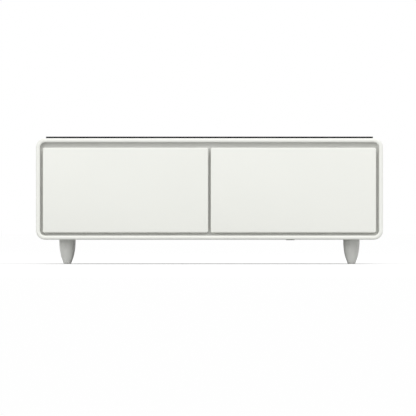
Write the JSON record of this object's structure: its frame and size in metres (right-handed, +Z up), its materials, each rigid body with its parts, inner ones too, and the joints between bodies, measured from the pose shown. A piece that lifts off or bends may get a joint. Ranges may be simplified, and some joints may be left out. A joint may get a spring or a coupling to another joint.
{
  "type": "refrigerator coffee table",
  "caption": "Low white coffee table with a black glass top, insulated refrigerated pull-out drawers on telescopic slides, and turned tapering legs.",
  "frame": {"origin": "on the floor, under the middle of the table's footprint", "axes": "+X to the right as seen from the drawers' side, +Y to the back, +Z up"},
  "size_m": [1.3, 0.65, 0.4773],
  "materials": {
    "white_lacquer": "satin lacquer on board",
    "black_glass": "black back-painted toughened glass, polished edge",
    "black_plastic": "fine moulded texture",
    "frame_white": "powder coat",
    "satin_metal": "satin",
    "zinc_steel": "zinc plated",
    "insulation": "cut foam",
    "liner_white": "thermoformed, light gloss",
    "seal_grey": "soft matte",
    "lamp_lens": "frosted",
    "aluminium_plate": "mill finish",
    "compressor_black": "gloss enamel",
    "copper_pipe": "drawn copper",
    "circuit_board": "solder mask"
  },
  "bodies": {
    "cabinet": {"cabinet_sleeve": "white_lacquer", "glass_top": "black_glass", "touch_control": "black_plastic", "night_light_sensor": "black_plastic", "fan_motor": "black_plastic", "drip_tray": "black_plastic", "mains_inlet": "black_plastic", "leg_glide_front_left": "black_plastic", "leg_glide_front_right": "black_plastic", "leg_glide_back_left": "black_plastic", "leg_glide_back_right": "black_plastic", "face_frame": "frame_white", "back_panel": "frame_white", "fan_bulkhead": "frame_white", "leg_front_left": "satin_metal", "leg_front_right": "satin_metal", "leg_back_left": "satin_metal", "leg_back_right": "satin_metal", "leg_stud_front_left": "zinc_steel", "leg_stud_front_right": "zinc_steel", "leg_stud_back_left": "zinc_steel", "leg_stud_back_right": "zinc_steel", "compressor_rail": "zinc_steel", "left_drawer_outer_slide_left": "zinc_steel", "left_drawer_outer_slide_right": "zinc_steel", "right_drawer_outer_slide_left": "zinc_steel", "right_drawer_outer_slide_right": "zinc_steel", "insulation_foam": "insulation", "left_cold_liner": "liner_white", "right_cold_liner": "liner_white", "left_interior_lamp": "lamp_lens", "right_interior_lamp": "lamp_lens", "left_evaporator": "aluminium_plate", "right_evaporator": "aluminium_plate", "condenser": "aluminium_plate", "compressor": "compressor_black", "filter_drier": "copper_pipe", "discharge_pipe": "copper_pipe", "link_pipe": "copper_pipe", "suction_pipe": "copper_pipe", "control_board": "circuit_board"},
    "left_drawer": {"left_drawer_front": "white_lacquer", "left_front_backing": "white_lacquer", "left_inner_door": "liner_white", "left_door_seal": "seal_grey", "left_drawer_bin": "liner_white", "left_drawer_inner_slide_left": "zinc_steel", "left_drawer_inner_slide_right": "zinc_steel"},
    "right_drawer": {"right_drawer_front": "white_lacquer", "right_front_backing": "white_lacquer", "right_inner_door": "liner_white", "right_door_seal": "seal_grey", "right_drawer_bin": "liner_white", "right_drawer_inner_slide_left": "zinc_steel", "right_drawer_inner_slide_right": "zinc_steel"},
    "left_middle_slides": {"left_drawer_middle_slide_left": "zinc_steel", "left_drawer_middle_slide_right": "zinc_steel"},
    "right_middle_slides": {"right_drawer_middle_slide_left": "zinc_steel", "right_drawer_middle_slide_right": "zinc_steel"},
    "fan_rotor": {"fan_rotor": "black_plastic"}
  },
  "joints": [
    {"name": "left_drawer_slide", "type": "slide", "parent": "cabinet", "child": "left_drawer", "axis": [0, -1, 0], "range_m": [0, 0.32]},
    {"name": "left_middle_slide", "type": "slide", "parent": "cabinet", "child": "left_middle_slides", "axis": [0, -1, 0], "range_m": [0, 0.16]},
    {"name": "right_drawer_slide", "type": "slide", "parent": "cabinet", "child": "right_drawer", "axis": [0, -1, 0], "range_m": [0, 0.32]},
    {"name": "right_middle_slide", "type": "slide", "parent": "cabinet", "child": "right_middle_slides", "axis": [0, -1, 0], "range_m": [0, 0.16]},
    {"name": "condenser_fan_spin", "type": "hinge", "parent": "cabinet", "child": "fan_rotor", "pos_m": [0.02536, 0.2295, 0.281], "axis": [1, 0, 0], "continuous": true}
  ],
  "couplings": [
    {"joint": "left_middle_slide", "follows": "left_drawer_slide", "ratio": 0.5},
    {"joint": "right_middle_slide", "follows": "right_drawer_slide", "ratio": 0.5}
  ]
}
